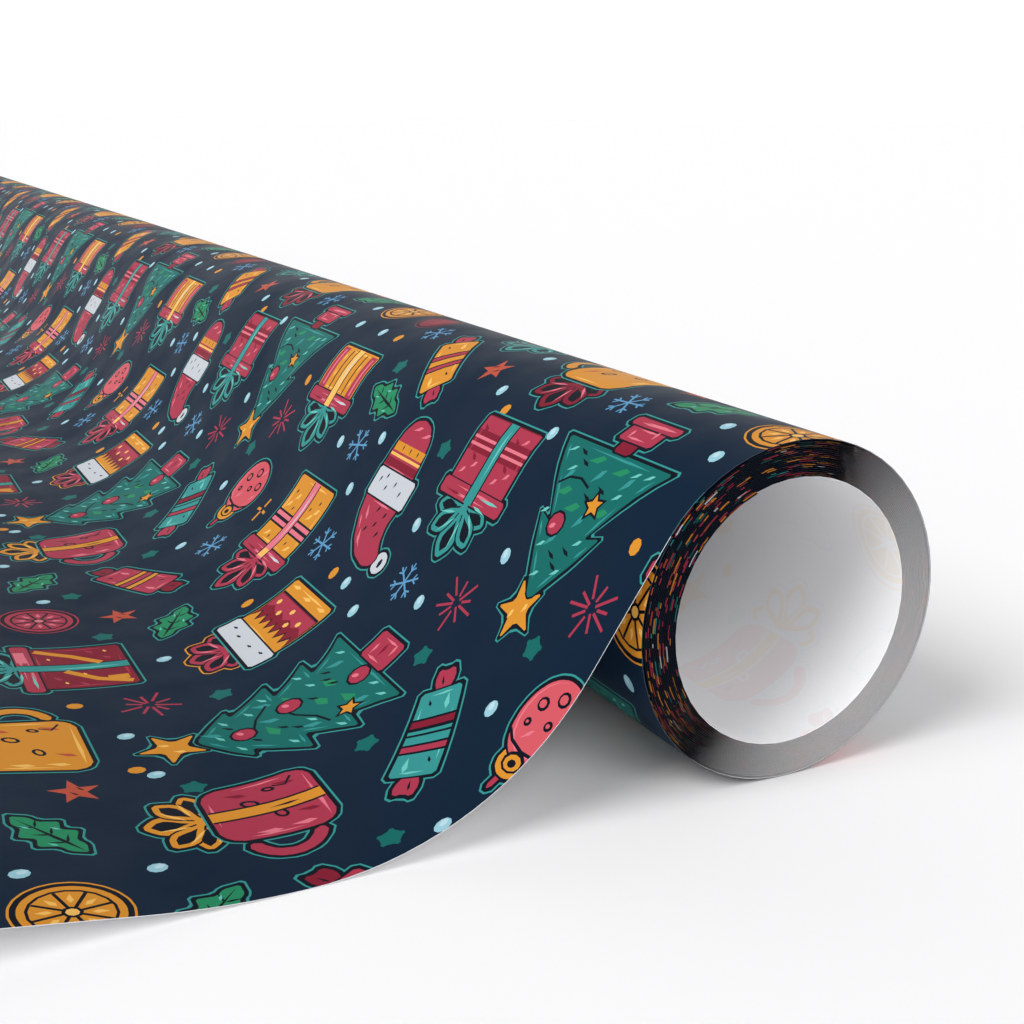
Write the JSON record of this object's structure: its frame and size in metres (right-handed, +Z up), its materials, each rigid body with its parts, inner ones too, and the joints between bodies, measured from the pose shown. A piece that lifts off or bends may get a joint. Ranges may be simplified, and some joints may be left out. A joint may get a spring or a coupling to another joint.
{
  "type": "wrapping paper roll",
  "caption": "Coreless roll of printed gift wrap, partly unrolled, with its free sheet running down to the table and lifting at the cut edge.",
  "frame": {"origin": "on the axis of the roll's open bore, half way along the roll", "axes": "+Y along the roll's axis, +Z up, and the free sheet runs towards -X"},
  "size_m": [0.1634, 0.762, 0.0444],
  "materials": {
    "printed_paper": "satin printed face, uncoated white back"
  },
  "bodies": {
    "outer_turn": {"turn_01": "printed_paper", "sheet_rise": "printed_paper"},
    "sheet_front": {"sheet_front": "printed_paper"},
    "sheet_edge": {"sheet_edge": "printed_paper"},
    "pack_outer": {"turn_02": "printed_paper", "turn_03": "printed_paper", "turn_04": "printed_paper", "turn_05": "printed_paper", "turn_06": "printed_paper"},
    "pack_middle": {"turn_07": "printed_paper", "turn_08": "printed_paper", "turn_09": "printed_paper", "turn_10": "printed_paper", "turn_11": "printed_paper"},
    "pack_inner": {"turn_12": "printed_paper", "turn_13": "printed_paper", "turn_14": "printed_paper", "turn_15": "printed_paper", "turn_16": "printed_paper"},
    "pack_heart": {"turn_17": "printed_paper", "turn_18": "printed_paper", "turn_19": "printed_paper", "turn_20": "printed_paper"}
  },
  "joints": [
    {"name": "unwind_turn", "type": "hinge", "parent": "outer_turn", "child": "pack_outer", "pos_m": [0, 0, 0], "axis": [0, 1, 0], "range_deg": [-360, 360]},
    {"name": "middle_slide", "type": "slide", "parent": "pack_outer", "child": "pack_middle", "axis": [0, -1, 0], "range_m": [-0.04, 0.04]},
    {"name": "inner_slide", "type": "slide", "parent": "pack_middle", "child": "pack_inner", "axis": [0, -1, 0], "range_m": [-0.04, 0.04]},
    {"name": "heart_slide", "type": "slide", "parent": "pack_inner", "child": "pack_heart", "axis": [0, -1, 0], "range_m": [-0.04, 0.04]},
    {"name": "front_lift", "type": "hinge", "parent": "outer_turn", "child": "sheet_front", "pos_m": [-0.06377, 0, -0.02212], "axis": [0, 1, 0], "range_deg": [0, 45], "stiffness_Nm_per_rad": 0.02, "springref_deg": 8.02},
    {"name": "edge_lift", "type": "hinge", "parent": "sheet_front", "child": "sheet_edge", "pos_m": [-0.09571, 0, -0.01829], "axis": [0, 1, 0], "range_deg": [0, 45]}
  ],
  "couplings": [
    {"joint": "inner_slide", "follows": "middle_slide", "ratio": 1},
    {"joint": "heart_slide", "follows": "middle_slide", "ratio": 1},
    {"joint": "edge_lift", "follows": "front_lift", "ratio": 1}
  ]
}
